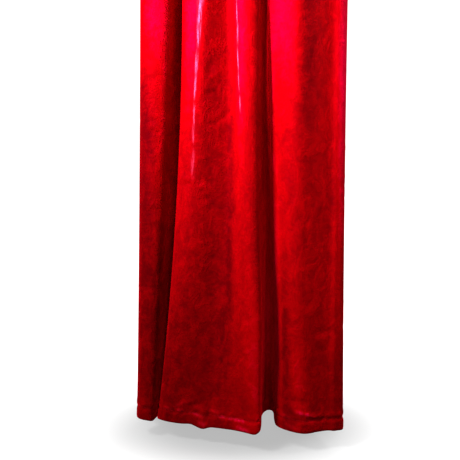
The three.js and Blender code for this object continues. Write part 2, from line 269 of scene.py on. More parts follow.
def padded(values, sides):
    """Values of a grid carried on over the rows or columns that turned_in adds."""
    for side, axis in sides:
        at = [0 if side == "start" else -1] * len(ALLOWANCE)
        more = np.take(values, at, axis=axis)
        values = np.concatenate((values, more) if side == "end" else (more, values), axis=axis)
    return values


# -------------------- the skirt's form


def fold_points(level):
    """The plan points of every fold at one level, in order round the skirt."""
    rows = [fold[level] for fold in FOLDS]
    points = []
    for k, (start_x, start_y, end_x, end_y, bulge, valley_x, valley_y, gap, turn) in enumerate(rows):
        start, end = np.array((start_x, start_y), float), np.array((end_x, end_y), float)
        along = (end - start) / np.linalg.norm(end - start)
        out = bulge * np.array((along[1], -along[0]))
        valley = np.array((valley_x, valley_y), float)
        near, far = valley - along * gap / 2, valley + along * gap / 2
        following = rows[(k + 1) % len(rows)]
        next_start = np.array(following[:2], float)
        points += [start, start + (end - start) / 3 + out, start + (end - start) * 2 / 3 + out, end]
        points += [end + (near - end) * turn, near, far, next_start + (far - next_start) * following[-1]]
    return np.array(points)


HIP_POINTS = fold_points(1)
KNEE_POINTS = fold_points(2)
HEM_POINTS = fold_points(3)
POINT_COUNT = len(HIP_POINTS)


PANEL_SAMPLES = 901


def panel_shares(start, end):
    """(places, shares): shares of a panel's width at evenly spaced places round the mean section."""
    places = np.linspace(start, end, PANEL_SAMPLES)
    run = lengths_along(spline_weights(places, POINT_COUNT) @ (HIP_POINTS + HEM_POINTS) / 2)
    return places, run / run[-1]


FRONT_PANEL = panel_shares(LEFT_SEAM, RIGHT_SEAM)
BACK_PANEL = panel_shares(RIGHT_SEAM, LEFT_SEAM + POINT_COUNT)


def waist_points():
    """Where each fold point starts on the waist seam."""
    points = np.zeros((POINT_COUNT, 2))
    for k in range(POINT_COUNT):
        is_front = LEFT_SEAM < k < RIGHT_SEAM
        place = k if k > LEFT_SEAM else k + POINT_COUNT
        panel = FRONT_PANEL if is_front else BACK_PANEL
        points[k] = half_oval(is_front, np.interp(place, *panel))
    return points


WAIST_POINTS = waist_points()


def section_points(drop):
    """The section's control points at a drop below the waist seam."""
    if drop < HIP_DROP:
        return WAIST_POINTS + (HIP_POINTS - WAIST_POINTS) * math.sin(math.pi / 2 * drop / HIP_DROP)
    knee = (KNEE_DROP - HIP_DROP) / (SKIRT_LENGTH - HIP_DROP)
    fall = (drop - HIP_DROP) / (SKIRT_LENGTH - HIP_DROP)
    at_hip = (fall - knee) * (fall - 1) / knee
    at_knee = fall * (1 - fall) / (knee * (1 - knee))
    at_hem = fall * (fall - knee) / (1 - knee)
    return HIP_POINTS * at_hip + KNEE_POINTS * at_knee + HEM_POINTS * at_hem


def gather_rise(share, drop):
    """How far the gathers stand out over a grid of shares and drops."""
    rise = smooth(drop / GATHERS["full_drop"])
    fade = 1 - smooth((drop - GATHERS["full_drop"]) / (GATHERS["fade_drop"] - GATHERS["full_drop"]))
    depth = (GATHERS["at_seam"] + (GATHERS["full"] - GATHERS["at_seam"]) * rise) * fade
    change = GATHERS["uneven"] * np.sin(GATHERS["drift"] * share + 1) * np.sin(math.pi * share)
    return -depth * (1 + change) * np.cos(2 * math.pi * GATHERS["per_panel"] * share)


def skirt_grid(panel, shares, drops):
    """The skirt panel's outer face, a row a drop and a column a share of its width."""
    places = np.interp(shares, panel[1], panel[0])
    at = spline_weights(places, POINT_COUNT)
    slope = spline_weights(places, POINT_COUNT, slope=True)
    controls = np.array([section_points(drop) for drop in drops])
    plan = at @ controls
    along = unit(slope @ controls)
    share, drop = np.meshgrid(shares, drops)
    out = gather_rise(share, drop)[..., None] * np.stack((along[..., 1], -along[..., 0]), axis=-1)
    inset = np.where(shares == 0, CLOTH_GAP / 2, np.where(shares == 1, -CLOTH_GAP / 2, 0))
    plan = plan + along * inset[None, :, None] + out
    height = WAIST_Z - CLOTH_GAP / 2 - drop
    return np.concatenate((plan, height[..., None]), axis=-1)


# -------------------- the bodice's form


def form_at(column, z):
    """A smooth curve through a column of the bodice's table, read at heights."""
    table = BODICE
    z = np.asarray(z, float)
    k = np.clip(np.searchsorted(-table[:, 0], -z, side="left") - 1, 0, len(table) - 2)
    t = np.clip((table[k, 0] - z) / (table[k, 0] - table[k + 1, 0]), 0, 1)
    first = 0 if column == HALF_WIDTH else 1
    above = np.maximum(first, np.arange(len(table)) - 1)
    below = np.minimum(len(table) - 1, np.arange(len(table)) + 1)
    slopes = (table[above, column] - table[below, column]) / np.where(
        above == below, 1, table[above, 0] - table[below, 0]
    )
    span = table[k + 1, 0] - table[k, 0]
    value = (
        (2 * t**3 - 3 * t**2 + 1) * table[k, column]
        + (t**3 - 2 * t**2 + t) * span * slopes[k]
        + (-2 * t**3 + 3 * t**2) * table[k + 1, column]
        + (t**3 - t**2) * span * slopes[k + 1]
    )
    if column == HALF_WIDTH:
        return value
    return np.where(k == 0, table[1, column] * np.sqrt(t), value)


def curve_at(rows, t):
    """A smooth curve through points, at shares of its number of spans."""
    points = np.array(rows, float)
    last = len(points) - 1
    place = np.asarray(t, float) * last
    k = np.minimum(np.floor(place).astype(int), last - 1)
    w = (place - k)[..., None]
    p0, p1 = points[np.maximum(k - 1, 0)], points[k]
    p2, p3 = points[k + 1], points[np.minimum(k + 2, last)]
    v0, v1 = (p2 - p0) / 2, (p3 - p1) / 2
    return (2 * p1 - 2 * p2 + v0 + v1) * w**3 + (3 * p2 - 3 * p1 - 2 * v0 - v1) * w**2 + v0 * w + p1


def top_edge(neck, armhole, out):
    """The top edge of half a panel, as (distance from the middle, height), from the middle out."""
    strap = np.clip((out - NECK_SPAN) / STRAP_SPAN, 0, 1)[:, None]
    across = np.array(neck[-1]) + (np.array(armhole[-1]) - np.array(neck[-1])) * strap
    points = np.where((out < NECK_SPAN)[:, None], curve_at(neck, np.minimum(out / NECK_SPAN, 1)), across)
    past_strap = np.clip((out - NECK_SPAN - STRAP_SPAN) / ARMHOLE_SPAN, 0, 1)
    return np.where((past_strap > 0)[:, None], curve_at(armhole, 1 - past_strap), points)


def bodice_grid(is_front, columns, downs):
    """The bodice piece's outer face; columns run from -HALF_SPAN to HALF_SPAN, and downs from 0 to 1."""
    side = -1 if is_front else 1
    out = np.abs(columns)
    edge = top_edge(FRONT_NECK, FRONT_ARMHOLE, out) if is_front else top_edge(BACK_NECK, BACK_ARMHOLE, out)
    top_turn = np.arcsin(np.clip(edge[:, 0] / form_at(HALF_WIDTH, edge[:, 1]), -1, 1))
    top_turn = np.where(out == HALF_SPAN, math.pi / 2, top_turn)
    ease = smooth(downs)[:, None]
    turn = top_turn * (1 - ease) + (math.pi / 2 * out / HALF_SPAN) * ease
    fall = (downs**ROW_CROWDING)[:, None]
    z = edge[:, 1] * (1 - fall) + (WAIST_Z + CLOTH_GAP / 2) * fall
    sideways = form_at(HALF_WIDTH, z) * np.sin(turn)
    from_bust = np.hypot(sideways - BUST["x"], z - BUST["z"])
    bust = BUST["out"] * bell(from_bust, BUST["radius"]) if is_front else 0
    depth = form_at(FRONT_DEPTH if is_front else BACK_DEPTH, z) + bust
    lift = SHOULDER_SLOPE * (STRAP_MIDDLE - sideways) * smooth(1 + z / SLOPE_REACH)
    x = -side * np.sign(columns) * sideways
    y = side * (depth * np.cos(turn) + CLOTH_GAP / 2)
    return np.stack((x + 0 * y, y, z + lift), axis=-1)


# -------------------- creases

CREASE_FADE = 0.4  # the share of a crease's length over which each end fades


def crease_rise(table, across, drop):
    """Soft ridges (height above 0) and troughs (below 0) over a grid of panel places.

    A row is start across, start drop, end across, end drop, half width, height and sideways bow.
    """
    rise = np.zeros_like(across)
    for a0, d0, a1, d1, half, height, bow in table:
        length = math.hypot(a1 - a0, d1 - d0)
        u, v = (a1 - a0) / length, (d1 - d0) / length
        reach = 3 * half + abs(bow)
        near = (
            (across > min(a0, a1) - reach)
            & (across < max(a0, a1) + reach)
            & (drop > min(d0, d1) - reach)
            & (drop < max(d0, d1) + reach)
        )
        a, d = across[near] - a0, drop[near] - d0
        run = (a * u + d * v) / length
        off = d * u - a * v - 4 * bow * run * (1 - run)
        ends = smooth(run / CREASE_FADE) * smooth((1 - run) / CREASE_FADE)
        rise[near] += height * ends * bell(off, half)
    return rise


# Small marks where the pile was pressed: how they lean in radians, the share of them that lean further and
# how much, and their least and most length, half width, height and bow.
CRUSH_LEAN, CRUSH_SLANTED, CRUSH_SLANT = 0.55, 0.35, 0.6
CRUSH_RUN, CRUSH_HALF, CRUSH_HEIGHT, CRUSH_BOW = (9, 34), (2.6, 5.2), (0.2, 0.7), (-3, 3)


def crush_marks(seed, count, width, length):
    """A scatter of crush marks, leaning this way and that, as crease rows."""
    draw = np.random.RandomState(seed)
    rows = []
    for _ in range(count):
        a, d = draw.uniform(0, width), draw.uniform(0, length)
        lean = draw.normal(0.0, CRUSH_LEAN) + (CRUSH_SLANT if draw.rand() < CRUSH_SLANTED else 0.0)
        run = draw.uniform(*CRUSH_RUN)
        half = draw.uniform(*CRUSH_HALF)
        height = draw.choice((-1, 1)) * draw.uniform(*CRUSH_HEIGHT)
        bow = draw.uniform(*CRUSH_BOW)
        rows.append((a, d, a + run * math.cos(lean), d + run * math.sin(lean), half, height, bow))
    return rows


PANEL_WIDTH = 900.0  # nominal, for the places in the tables below

# Start across, start drop, end across, end drop, half width, height, bow. The front skirt panel.
FRONT_CREASES = (
    # long soft forms: the shallow valley, the hollow past the deep valley, and the middle ridge
    (342, 560, 356, 1000, 17, -3.0, 3),
    (572, 700, 585, 1000, 15, -5.0, 0),
    (435, 740, 443, 1010, 14, 3.0, 2),
    (456, 600, 462, 985, 9, 4.0, 0),
    # left roll: short level creases
    (99, 290, 124, 290, 4, -1.0, 1),
    (107, 342, 137, 337, 4, 1.1, -2),
    (103, 304, 140, 314, 5, -0.9, 2),
    (114, 312, 130, 333, 5, 0.8, 1),
    (117, 422, 152, 425, 4, -0.9, 1),
    (115, 437, 154, 440, 4, 0.8, -1),
    (119, 450, 152, 447, 4, -0.7, 1),
    (103, 588, 154, 590, 5, 0.9, 1),
    (104, 605, 155, 600, 4, -0.9, -1),
    (105, 625, 155, 620, 5, 0.8, 1),
    (108, 760, 164, 752, 6, -0.7, 2),
    (115, 880, 169, 890, 6, 0.7, -2),
    # main roll's left band
    (254, 394, 299, 397, 4, -1.0, 1),
    (250, 409, 298, 408, 4, 0.9, -1),
    (256, 424, 299, 423, 4, -0.9, 1),
    (258, 436, 294, 438, 4, 0.7, -1),
    (243, 517, 284, 515, 5, -1.4, 1),
    (245, 533, 312, 538, 4, 1.5, -2),
    (255, 549, 297, 542, 5, -1.0, 1),
    (302, 495, 328, 495, 4, 1.2, 0),
    (310, 624, 300, 652, 4, 1.2, 1),
    (316, 654, 336, 668, 4, 1.4, -1),
    (295, 766, 314, 771, 4, 1.1, 0),
    (305, 812, 307, 840, 5, 1.0, 0),
    (274, 879, 300, 882, 5, 1.0, 1),
    (258, 970, 298, 969, 6, -1.3, 2),
    # the shallow valley and its crushed nap
    (316, 310, 334, 342, 5, -1.3, 2),
    (334, 302, 317, 338, 4, -1.0, -2),
    (334, 321, 349, 345, 4, 1.0, 1),
    (346, 310, 376, 325, 4, -1.1, 2),
    (316, 348, 348, 329, 5, 1.1, 2),
    (308, 371, 340, 371, 4, -1.6, 1),
    (309, 360, 336, 364, 4, 1.0, 0),
    (324, 437, 378, 397, 5, -1.6, 2),
    (319, 391, 339, 420, 5, -1.3, -2),
    (302, 530, 343, 544, 6, -1.6, 2),
    (307, 542, 339, 553, 5, 1.1, 1),
    (312, 574, 344, 568, 5, -1.4, 1),
    (313, 586, 341, 580, 4, 1.0, 1),
    (345, 490, 346, 548, 5, 1.0, 0),
    (348, 570, 354, 660, 6, 1.2, 1),
    (346, 640, 400, 635, 5, 1.2, 1),
    (341, 850, 344, 880, 5, 1.2, 0),
    (366, 876, 374, 922, 5, 1.6, 0),
    (379, 876, 383, 920, 4, -1.5, 0),
    (357, 924, 394, 927, 6, 1.1, 1),
    (328, 957, 372, 953, 6, -1.1, 2),
    (358, 965, 410, 977, 6, -1.2, -2),
    # the middle ridge and its right flank
    (433, 312, 449, 334, 5, -1.5, 2),
    (418, 806, 450, 803, 6, -1.3, 1),
    (409, 885, 444, 892, 6, -1.3, -1),
    (444, 843, 466, 846, 6, 0.9, 1),
    # right roll
    (576, 232, 591, 238, 4, -2.0, 0),
    (588, 408, 597, 426, 5, 1.2, 0),
    (598, 404, 611, 432, 5, 1.1, 1),
    (573, 648, 612, 638, 5, 1.1, 1),
    (618, 515, 626, 590, 7, 1.6, 1),
    (626, 574, 625, 640, 6, 1.5, -1),
    (630, 568, 649, 612, 5, 1.7, 1),
    (645, 600, 659, 668, 5, 1.8, 1),
    (643, 562, 673, 672, 7, -1.6, 2),
    (622, 880, 643, 945, 9, 1.6, 2),
    (638, 925, 653, 985, 8, 1.5, 1),
    # right flat
    (694, 572, 673, 618, 7, 1.2, 2),
    (677, 778, 664, 808, 6, 1.3, 1),
    (700, 764, 666, 820, 6, 1.2, 2),
    (669, 836, 730, 830, 7, -1.3, 2),
    (663, 852, 727, 847, 7, 1.0, 2),
    (668, 872, 719, 880, 7, -0.9, -2),
    # folds above the hem
    (608, 991, 662, 1005, 6, 2.0, 2),
    (649, 1001, 697, 1015, 5, 1.7, 1),
    (609, 969, 671, 982, 7, -1.8, 2),
    (308, 1008, 338, 985, 6, 2.2, -2),
    (299, 1000, 316, 982, 6, -1.2, -2),
)

# Where the crests were pressed along their length, each a low ridge with a painted highlight along it:
# across and drop at each end, half width and strength.
PRESSED_LINES_AND_HIGHLIGHTS = (
    (298, 150, 295, 225, 5.5, 0.8),
    (290, 150, 291, 215, 3.5, 0.6),
    (295, 195, 294, 262, 3.4, 1.0),
    (297, 240, 293, 300, 2.2, 0.9),
    (291, 236, 294, 296, 2.0, 0.8),
    (293, 285, 291, 345, 2.4, 1.0),
    (292, 330, 290, 392, 1.8, 0.9),
    (290, 380, 293, 440, 1.8, 0.6),
    (291, 425, 294, 470, 2.4, 0.4),
    (293, 470, 297, 540, 3.2, 0.3),
    (402, 150, 400, 215, 2.0, 1.0),
    (398, 200, 402, 255, 1.7, 1.0),
    (403, 240, 401, 292, 2.2, 1.0),
    (400, 280, 405, 336, 1.7, 1.0),
    (404, 325, 408, 372, 1.7, 0.8),
    (409, 372, 412, 410, 2.0, 0.6),
)
LINE_BOW = 0.6  # of each pressed line and pucker, sideways
PRESSED_RISE = 0.5
# How high the puckers rise, how much their painted glint lightens the colour, and how much their painted
# highlight tints it.
PUCKER_RISE, PUCKER_PAINTED_GLINT, PUCKER_PAINTED_HIGHLIGHT = 0.8, 1.3, 0.07

# Puckers along the hem's stitches, each a small ridge with a painted glint and a painted highlight on it:
# rows as above.
HEM_PUCKERS_AND_GLINTS = (
    (258, 1012, 291, 1014, 3.2, 0.6),
    (291, 1013, 320, 1016, 3.6, 0.9),
    (293, 1008, 316, 992, 3.2, 0.5),
    (318, 1017, 354, 1021, 3.6, 1.0),
    (326, 1002, 349, 1008, 4.5, 0.3),
    (337, 1031, 364, 1037, 5.5, 0.9),
    (368, 1017, 402, 1020, 3.6, 1.0),
    (389, 1019, 435, 1021, 4.0, 1.1),
    (354, 1006, 389, 1013, 3.6, 0.4),
    (408, 1036, 443, 1041, 5.0, 1.0),
    (590, 1008, 628, 1016, 3.6, 0.6),
    (624, 996, 683, 1010, 4.0, 0.9),
    (639, 1016, 691, 1020, 3.4, 0.5),
    (598, 1032, 650, 1036, 5.0, 0.4),
)

# Painted light (above 0) and painted shade (below 0) on the cloth's colour: across, drop, half across, half
# drop, amount.
FRONT_PAINTED_LIGHT_AND_SHADE = (
    # left roll: painted shade at its outer edge and lower down, painted light at its shoulder
    (104, 400, 26, 260, -0.6),
    (130, 800, 60, 330, -0.4),
    (150, 440, 12, 170, 0.5),
    # painted shade in the left valley, and painted light on the shoulder beside it
    (181, 290, 15, 170, -0.7),
    (162, 230, 9, 90, 0.4),
    # main roll: painted shade on its lower left and in its shallow valley, then painted light and a short
    # band of painted shade on its right crest
    (272, 930, 90, 300, -0.35),
    (319, 330, 22, 150, -0.2),
    (347, 640, 24, 300, -0.25),
    (378, 740, 17, 380, -0.4),
    (450, 880, 16, 180, 0.4),
    (452, 690, 10, 70, -0.35),
    # painted light on both walls of the deep valley
    (473, 330, 15, 230, 0.4),
    (486, 950, 14, 90, 0.6),
    (507, 890, 24, 200, 1.1),
    (556, 840, 26, 160, 0.6),
    (564, 380, 20, 240, 0.6),
    (582, 860, 14, 210, 1.3),
    # right roll, flat and edge: patches of painted shade and painted light
    (596, 900, 34, 200, -0.6),
    (640, 930, 18, 70, 0.5),
    (662, 270, 17, 190, -0.5),
    (716, 560, 12, 200, -0.25),
    (725, 960, 60, 120, -0.2),
    (740, 520, 11, 260, 0.5),
    # painted highlights, lighter and pinker, on the crests near the hip
    (123, 225, 34, 120, 0.9),
    (277, 235, 20, 150, 0.9),
    (413, 270, 24, 200, 0.8),
    (610, 225, 36, 140, 0.8),
    (748, 260, 20, 220, 1.0),
)


def painted_light_and_shade(table, across, drop):
    """How much painted light (above 0) or painted shade (below 0) the cloth's colour has over a grid of
    panel places.
    """
    painted_lightness = np.zeros_like(across)
    for a0, d0, half_a, half_d, amount in table:
        painted_lightness += amount * bell(across - a0, half_a) * bell(drop - d0, half_d)
    return painted_lightness


# -------------------- meshes


def linked(name, data):
    """A new object for a mesh, light or camera, in the scene."""
    made = bpy.data.objects.new(name, data)
    bpy.context.scene.collection.objects.link(made)
    return made


INNER_UV_SHIFT = 1500  # keeps the inner face's part of the pattern apart from the outer's


def closed_shell(name, outer, inner, uv, attributes):
    """A closed thin shell: a dense outer grid, an inner grid at half its resolution, and the edges."""
    rows, columns = outer.shape[:2]
    inner_rows, inner_columns = inner.shape[:2]
    points = np.concatenate((outer.reshape(-1, 3), inner.reshape(-1, 3))) * MM
    base = rows * columns

    def quads(start, height, width, flip):
        at = start + np.arange(height * width).reshape(height, width)
        corners = (at[:-1, :-1], at[1:, :-1], at[1:, 1:], at[:-1, 1:])
        if flip:
            corners = corners[::-1]
        return np.stack([c.ravel() for c in corners], axis=1)

    faces = quads(0, rows, columns, False).tolist()
    faces += quads(base, inner_rows, inner_columns, True).tolist()

    def rim(outer_line, inner_line):
        for k in range(len(inner_line) - 1):
            faces.append((*outer_line[2 * k : 2 * k + 3][::-1], inner_line[k], inner_line[k + 1]))

    at = np.arange(base).reshape(rows, columns)
    inside = base + np.arange(inner_rows * inner_columns).reshape(inner_rows, inner_columns)
    rim(at[0, ::-1].tolist(), inside[0, ::-1].tolist())
    rim(at[-1].tolist(), inside[-1].tolist())
    rim(at[:, 0].tolist(), inside[:, 0].tolist())
    rim(at[::-1, -1].tolist(), inside[::-1, -1].tolist())

    mesh = bpy.data.meshes.new(name)
    mesh.from_pydata(points.tolist(), [], faces)
    mesh.polygons.foreach_set("use_smooth", np.ones(len(faces), bool))
    inner_uv = uv[::2, ::2] + (INNER_UV_SHIFT, 0)
    coordinates = np.concatenate((uv.reshape(-1, 2), inner_uv.reshape(-1, 2))) * MM
    corner_vertices = np.zeros(len(mesh.loops), np.int32)
    mesh.loops.foreach_get("vertex_index", corner_vertices)
    layer = mesh.uv_layers.new(name="cloth")
    layer.data.foreach_set("uv", coordinates[corner_vertices].ravel())
    for attribute, values in attributes.items():
        data = np.concatenate((values.ravel(), np.zeros(inner_rows * inner_columns)))
        made = mesh.attributes.new(attribute, "FLOAT", "POINT")
        made.data.foreach_set("value", data.astype(np.float32))
    mesh.update()
    mesh.validate()
    return linked(name, mesh)


STITCH = {"pitch": 3.0, "length": 2.3, "radius": 0.26, "sides": 5}
LOOK_AHEAD = 0.5  # along a line of stitches, to find which way it runs
# A stitch's rings: the share of its length from its middle, height over the cloth, and share of its radius.
STITCH_RINGS = ((-0.5, -0.30, 0.7), (-0.32, 0.12, 1.0), (0.32, 0.12, 1.0), (0.5, -0.30, 0.7))


def stitches(piece, runs):
    """Short sewn threads along runs of points near a piece's outer face, as one mesh."""
    corners = [vertex.co for vertex in piece.data.vertices]
    surface = BVHTree.FromPolygons(corners, [face.vertices for face in piece.data.polygons])
    sides, pitch, length = STITCH["sides"], STITCH["pitch"], STITCH["length"]
    turns = [2 * math.pi * k / sides for k in range(sides)]
    points, faces = [], []

    def point_on(run, reach, place):
        return np.array([np.interp(place, reach, run[:, k]) for k in range(3)])

    def sew(at, ahead):
        """One stitch: rings of points along it, the faces between them, and its two ends."""
        place, normal = (np.array(found) for found in surface.find_nearest(Vector(at * MM))[:2])
        along = ahead - at
        along = unit(along - normal * np.dot(along, normal))
        across = np.cross(normal, along)
        base = len(points)
        for share, lift, thick in STITCH_RINGS:
            centre = place / MM + along * share * length + normal * lift
            for turn in turns:
                spoke = across * math.cos(turn) + normal * math.sin(turn)
                points.append((centre + STITCH["radius"] * thick * spoke) * MM)
        last = base + (len(STITCH_RINGS) - 1) * sides
        for start in range(base, last, sides):
            for k in range(sides):
                here, beside = start + k, start + (k + 1) % sides
                faces.append((here, beside, beside + sides, here + sides))
        faces.append(tuple(base + k for k in reversed(range(sides))))
        faces.append(tuple(last + k for k in range(sides)))

    for run in runs:
        reach = lengths_along(run)
        for middle in np.arange(pitch, reach[-1] - pitch, pitch):
            sew(point_on(run, reach, middle), point_on(run, reach, middle + LOOK_AHEAD))
    name = piece.name.replace("velvet", "stitching")
    mesh = bpy.data.meshes.new(name)
    mesh.from_pydata([tuple(point) for point in points], [], faces)
    mesh.polygons.foreach_set("use_smooth", np.ones(len(faces), bool))
    mesh.validate()
    return linked(name, mesh)


BAND_EDGE = 8  # over which a band of closer lines begins and ends
CROWD_SAMPLES = 4001


def crowded(ends, bands, count):
    """count values from one end to the other, closer together inside the bands of (from, to, times)."""
    fine = np.linspace(*ends, CROWD_SAMPLES)
    density = np.ones_like(fine)
    for start, end, times in bands:
        inside = smooth((fine - start) / BAND_EDGE + 0.5) * smooth((end - fine) / BAND_EDGE + 0.5)
        density += (times - 1) * inside
    run = np.concatenate(([0.0], np.cumsum((density[1:] + density[:-1]) / 2)))
    values = np.interp(np.linspace(0, run[-1], count), run, fine)
    values[0], values[-1] = ends
    return values


# -------------------- skirt panels

SKIRT_COLUMNS = 249
SKIRT_ROWS = 301
STREAK_BANDS = ((281, 306, 3.6), (393, 416, 3.6))  # the two runs of pressed lines
SEAM_BANDS = ((0, 60, 1.6), (985, 1045, 1.7))  # the gathers and the hem
SKIRT_CRUSHES = 620
SIDE_EASE = 16  # how far from a side seam the cloth's own marks fade out
SHARED_HALF, SHARED_FADE = 8, (100, 180)  # where both panels' edges move alike: across, and its end down
GATHER_PUCKER = 0.7
# The hem's stitched line is drawn in, the cloth over it puffs out and puckers, and two layers stand out.
HEM_DRAWN, HEM_PUFF, HEM_PUCKER, HEM_LAYERS = 1.1, 1.4, 1.0, 0.9
# A side seam is drawn in, and its cloth is a little uneven. The waist seam is drawn in too.
SIDE_DRAWN, SIDE_UNEVEN, WAIST_DRAWN = 1.0, 0.5, 0.9

# The hem rides up in the deep valley beside the main roll: its place in fold points, half reach and height,
# and the drop from which the cloth rises to it.
HEM_LIFT = {"place": 30.1, "half": 1.4, "height": 18.0, "from_drop": 900}

# Where the hem's edge dips below (below 0) or rides above its level: across, reach and height.
FRONT_HEM_WAVES = (
    (156, 14, -2.5),
    (326, 8, 1.5),
    (350, 15, -8.5),
    (429, 30, 2.0),
    (459, 8, 7.0),
    (474, 10, 18.0),
    (536, 28, -8.5),
)

BACK_CREASE_COUNT = 64
BACK_CREASE_LENGTH = 34


def back_crease(k):
    """The back's crease number k, a row like the front's: they spread evenly and differ by waves of k."""
    a, d = 60 + 92.0 * k % 780, 230 + 139.0 * k % 740
    end_a = a + BACK_CREASE_LENGTH * math.cos(0.5 * math.sin(2.3 * k))
    end_d = d + BACK_CREASE_LENGTH * math.sin(0.9 * math.sin(1.7 * k))
    return a, d, end_a, end_d, 5 + 1.5 * math.sin(1.1 * k), 1.4 * math.cos(2.9 * k), 2 * math.sin(k)


def two_layers(drop):
    """0 above the hem's stitches and 1 below them, where the cloth is double."""
    return smooth((drop - HEM_LINE + 1.5) / 3)


def gather_puckers(a, d):
    """Small puckers below the waist, where the gathering threads pull."""
    waves = np.sin(a * 0.52 + 1.4 * np.sin(a * 0.031))
    return GATHER_PUCKER * waves * np.exp(-d / 14) * smooth(d / 3)


def hem_rise(a, d):
    """The hem's form: its stitches pull unevenly along it, and its edge is turned."""
    below = d - HEM_LINE
    pull = 0.55 + 0.45 * np.sin(a * 0.043 + 2.0 * np.sin(a * 0.011))
    ripple = np.sin(a * 0.27 + 0.12 * below + 2.2 * np.sin(a * 0.023))
    line = HEM_PUFF * pull * bell(below + 9, 7) - HEM_DRAWN * bell(below, 3)
    line += HEM_PUCKER * pull * ripple * bell(below, 10)
    turned = 1 - 0.9 * smooth((d - SKIRT_LENGTH + 5) / 5)
    return line + HEM_LAYERS * smooth((below - 2) / 6) * turned


def seam_rise(d, edge):
    """Side and waist seams draw the cloth in a little, the same on both panels."""
    uneven = SIDE_UNEVEN * np.sin(d * 0.33 + np.sin(d * 0.05)) * bell(edge, 9)
    return uneven - SIDE_DRAWN * bell(edge, 2.6) - WAIST_DRAWN * bell(d, 2.5)


def hem_drift(a, d, edge, waves):
    """How much the hem's edge strays up from level, because a hem is never quite even."""
    drift = (1.2 * np.sin(a * 0.021 + 1.0) + 0.8 * np.sin(a * 0.055)) * smooth(edge / 60)
    for middle, reach, height in waves:
        drift += height * bell(a - middle, reach)
    return drift * smooth((d - HEM_LINE + 14) / HEM_DEPTH)


def line_marks(a, d, pressed, puckers):
    """What pressed lines and puckers add to the cloth's rise, to its painted light (the puckers' painted
    glints) and to its painted highlight.
    """
    rise, painted_lightness, painted_highlight = np.zeros_like(a), np.zeros_like(a), np.zeros_like(a)
    for *ends, half, strength in pressed:
        line = crease_rise(((*ends, half, strength, LINE_BOW),), a, d)
        rise += PRESSED_RISE * line
        painted_highlight = np.maximum(painted_highlight, line)
    # painted glints: how strongly each stretch of a pucker is painted lighter
    painted_glint_share = 0.72 + 0.28 * np.sin(a * 0.62 + 2.6 * np.sin(a * 0.12) + 0.25 * (d - HEM_LINE))
    for *ends, half, strength in puckers:
        line = crease_rise(((*ends, half, strength, LINE_BOW),), a, d)
        rise += PUCKER_RISE * line
        painted_lightness += PUCKER_PAINTED_GLINT * line * painted_glint_share
        painted_highlight = np.maximum(painted_highlight, PUCKER_PAINTED_HIGHLIGHT * line * painted_glint_share)
    return rise, painted_lightness, painted_highlight


def hem_lift(places, d):
    """How far the cloth rides up at the hem in the deep valley, a column at each of the fold places."""
    rising = smooth((d - HEM_LIFT["from_drop"]) / (SKIRT_LENGTH - HEM_LIFT["from_drop"]))
    return HEM_LIFT["height"] * bell(places - HEM_LIFT["place"], HEM_LIFT["half"]) * rising


def skirt_piece(name, panel, seed, creases, pressed=(), puckers=(), pile_and_painted_light=(), waves=(), bands=()):
    """A skirt panel's cloth with its turned hem, and the hem's stitches."""
    across = crowded((0.0, PANEL_WIDTH), bands, SKIRT_COLUMNS)
    drops = crowded((0.0, SKIRT_LENGTH), SEAM_BANDS, SKIRT_ROWS)
    shares = across / PANEL_WIDTH
    grid = skirt_grid(panel, shares, drops)
    a, d = np.meshgrid(across, drops)
    rise = crease_rise(creases, a, d)
    rise += crease_rise(crush_marks(seed, SKIRT_CRUSHES, PANEL_WIDTH, SKIRT_LENGTH), a, d)
    line_rise, painted_glints, painted_highlight = line_marks(a, d, pressed, puckers)
    rise += gather_puckers(a, d) + hem_rise(a, d) + line_rise
    # the cloth's painted light and shade: the table's patches and the puckers' painted glints
    painted_lightness = painted_light_and_shade(pile_and_painted_light, a, d) + painted_glints

    edge = np.minimum(a, PANEL_WIDTH - a)
    rise = rise * smooth(edge / SIDE_EASE) + seam_rise(d, edge)
    # at the top of a side seam the edges of both panels move the same way, straight out from the dress
    fade_from, fade_to = SHARED_FADE
    shared = (bell(edge, SHARED_HALF) * (1 - smooth((d - fade_from) / (fade_to - fade_from))))[..., None]
    normals = unit(outward(grid) * (1 - shared) + unit(grid * (1, 1, 0)) * shared)
    outer = grid + normals * rise[..., None]
    outer[..., 2] += hem_drift(a, d, edge, waves)
    outer[..., 2] += hem_lift(np.interp(shares, panel[1], panel[0]), d)

    seams = (*SIDE_SEAMS, WAIST_OF_SKIRT)
    outer, normals = turned_in(outer, normals, seams)
    a, d = padded(a, seams), padded(d, seams)
    coarse = outer[::2, ::2]
    wall = WALL + (HEM_WALL - WALL) * two_layers(d[::2, ::2])
    inner = coarse - outward(coarse) * wall[..., None]
    inner[-1, :, 2] = coarse[-1, :, 2]  # so that the hem's lower edge is level through its thickness
    # the painted highlight and the painted light and shade go to the shader as attributes
    attributes = {"painted_highlight": padded(painted_highlight, seams), "pile_and_painted_light": padded(painted_lightness, seams)}
    piece = closed_shell(name, outer, inner, np.stack((a, -d), axis=-1), attributes)
    row = len(ALLOWANCE) + int(np.argmin(np.abs(drops - HEM_LINE)))
    clear = 2 * len(ALLOWANCE)  # of both side seams
    return piece, stitches(piece, [outer[row, clear:-clear]])


skirt_front, front_hem_stitches = skirt_piece(
    "velvet_skirt_front",
    FRONT_PANEL,
    seed=11,
    creases=FRONT_CREASES,
    pressed=PRESSED_LINES_AND_HIGHLIGHTS,
    puckers=HEM_PUCKERS_AND_GLINTS,
    pile_and_painted_light=FRONT_PAINTED_LIGHT_AND_SHADE,
    waves=FRONT_HEM_WAVES,
    bands=STREAK_BANDS,
)
skirt_back, back_hem_stitches = skirt_piece(
    "velvet_skirt_back",
    BACK_PANEL,
    seed=23,
    creases=[back_crease(k) for k in range(BACK_CREASE_COUNT)],
)

